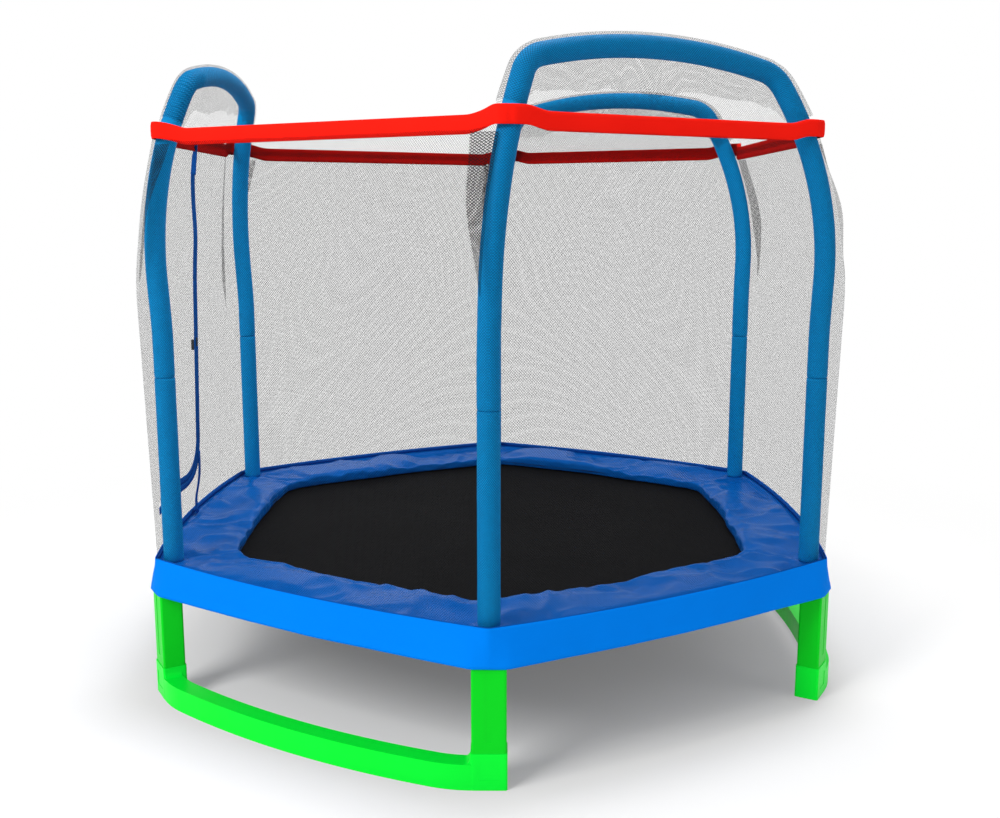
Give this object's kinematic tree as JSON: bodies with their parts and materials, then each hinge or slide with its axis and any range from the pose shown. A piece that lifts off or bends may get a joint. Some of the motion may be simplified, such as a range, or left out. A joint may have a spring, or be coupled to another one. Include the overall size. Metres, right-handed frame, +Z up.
{
  "type": "trampoline",
  "caption": "Six-sided children's trampoline on curved floor bases, with padded spring cover, arched safety net frame and a zipped net door.",
  "frame": {"origin": "on the floor, at the middle of the footprint", "axes": "+Z up; +Y and -Y through two opposite corner legs; +X towards the side whose floor base bows out"},
  "size_m": [1.955, 2.124, 1.7331],
  "materials": {
    "base_plastic": "satin",
    "leg_plastic": "satin",
    "frame_steel": "satin",
    "fasteners": "satin",
    "spring_steel": "satin",
    "mat_cloth": "matte",
    "mat_webbing": "matte",
    "cover_vinyl": "gloss",
    "backing_cloth": "matte",
    "pad_foam": "matte",
    "skirt_cloth": "matte",
    "sleeve_foam": "matte",
    "net_mesh": "matte",
    "net_webbing": "matte",
    "red_webbing": "matte",
    "zip_tape": "matte",
    "zip_slider": "satin"
  },
  "bodies": {
    "frame": {"base_1": "base_plastic", "base_2": "base_plastic", "base_3": "base_plastic", "leg_cover_1": "leg_plastic", "leg_cover_2": "leg_plastic", "leg_cover_3": "leg_plastic", "leg_cover_4": "leg_plastic", "leg_cover_5": "leg_plastic", "leg_cover_6": "leg_plastic", "leg_tubes": "frame_steel", "leg_bolts": "fasteners", "leg_nuts": "fasteners", "base_screws": "fasteners", "frame_rail_1": "frame_steel", "frame_rail_2": "frame_steel", "frame_rail_3": "frame_steel", "frame_rail_4": "frame_steel", "frame_rail_5": "frame_steel", "frame_rail_6": "frame_steel", "corner_socket_1": "frame_steel", "corner_socket_2": "frame_steel", "corner_socket_3": "frame_steel", "corner_socket_4": "frame_steel", "corner_socket_5": "frame_steel", "corner_socket_6": "frame_steel", "rail_screws": "fasteners", "springs": "spring_steel", "spring_cover": "cover_vinyl", "cover_backing": "backing_cloth", "pad_foam": "pad_foam", "skirt": "skirt_cloth", "pole_1": "frame_steel", "pole_2": "frame_steel", "pole_3": "frame_steel", "pole_4": "frame_steel", "pole_5": "frame_steel", "pole_6": "frame_steel", "snap_buttons": "fasteners", "arch_1": "frame_steel", "arch_2": "frame_steel", "arch_3": "frame_steel", "pole_foam": "sleeve_foam", "arch_foam_1": "sleeve_foam", "arch_foam_2": "sleeve_foam", "arch_foam_3": "sleeve_foam", "net_hem": "net_webbing", "net_wall": "net_mesh", "net_hood_1": "net_mesh", "net_hood_2": "net_mesh", "net_hood_3": "net_mesh", "net_tails": "net_mesh", "top_band": "red_webbing", "door_zip_wall": "zip_tape", "door_straps": "zip_tape"},
    "mat_edge": {"mat_hem": "mat_webbing", "mat_rings": "spring_steel"},
    "mat": {"jump_mat": "mat_cloth"},
    "door_flap": {"door_net": "net_mesh", "door_zip_flap": "zip_tape"},
    "zip_pull": {"zip_slider": "zip_slider"}
  },
  "joints": [
    {"name": "edge_drop", "type": "slide", "parent": "frame", "child": "mat_edge", "axis": [0, 0, 1], "range_m": [-0.06, 0], "stiffness_N_per_m": 5000, "springref_m": 0.02, "deforming": ["springs"]},
    {"name": "mat_dip", "type": "slide", "parent": "mat_edge", "child": "mat", "axis": [0, 0, 1], "range_m": [-0.09, 0]},
    {"name": "door_swing", "type": "hinge", "parent": "frame", "child": "door_flap", "pos_m": [-0.95549, -0.44, 0.51], "axis": [-0.0067, 0.5608, 0.8279], "range_deg": [0, 110]},
    {"name": "zip_slide", "type": "slide", "parent": "frame", "child": "zip_pull", "axis": [0.0263, 0, 0.9997], "range_m": [-0.25, 0.18]}
  ],
  "couplings": [
    {"joint": "mat_dip", "follows": "edge_drop", "ratio": 1.5}
  ]
}
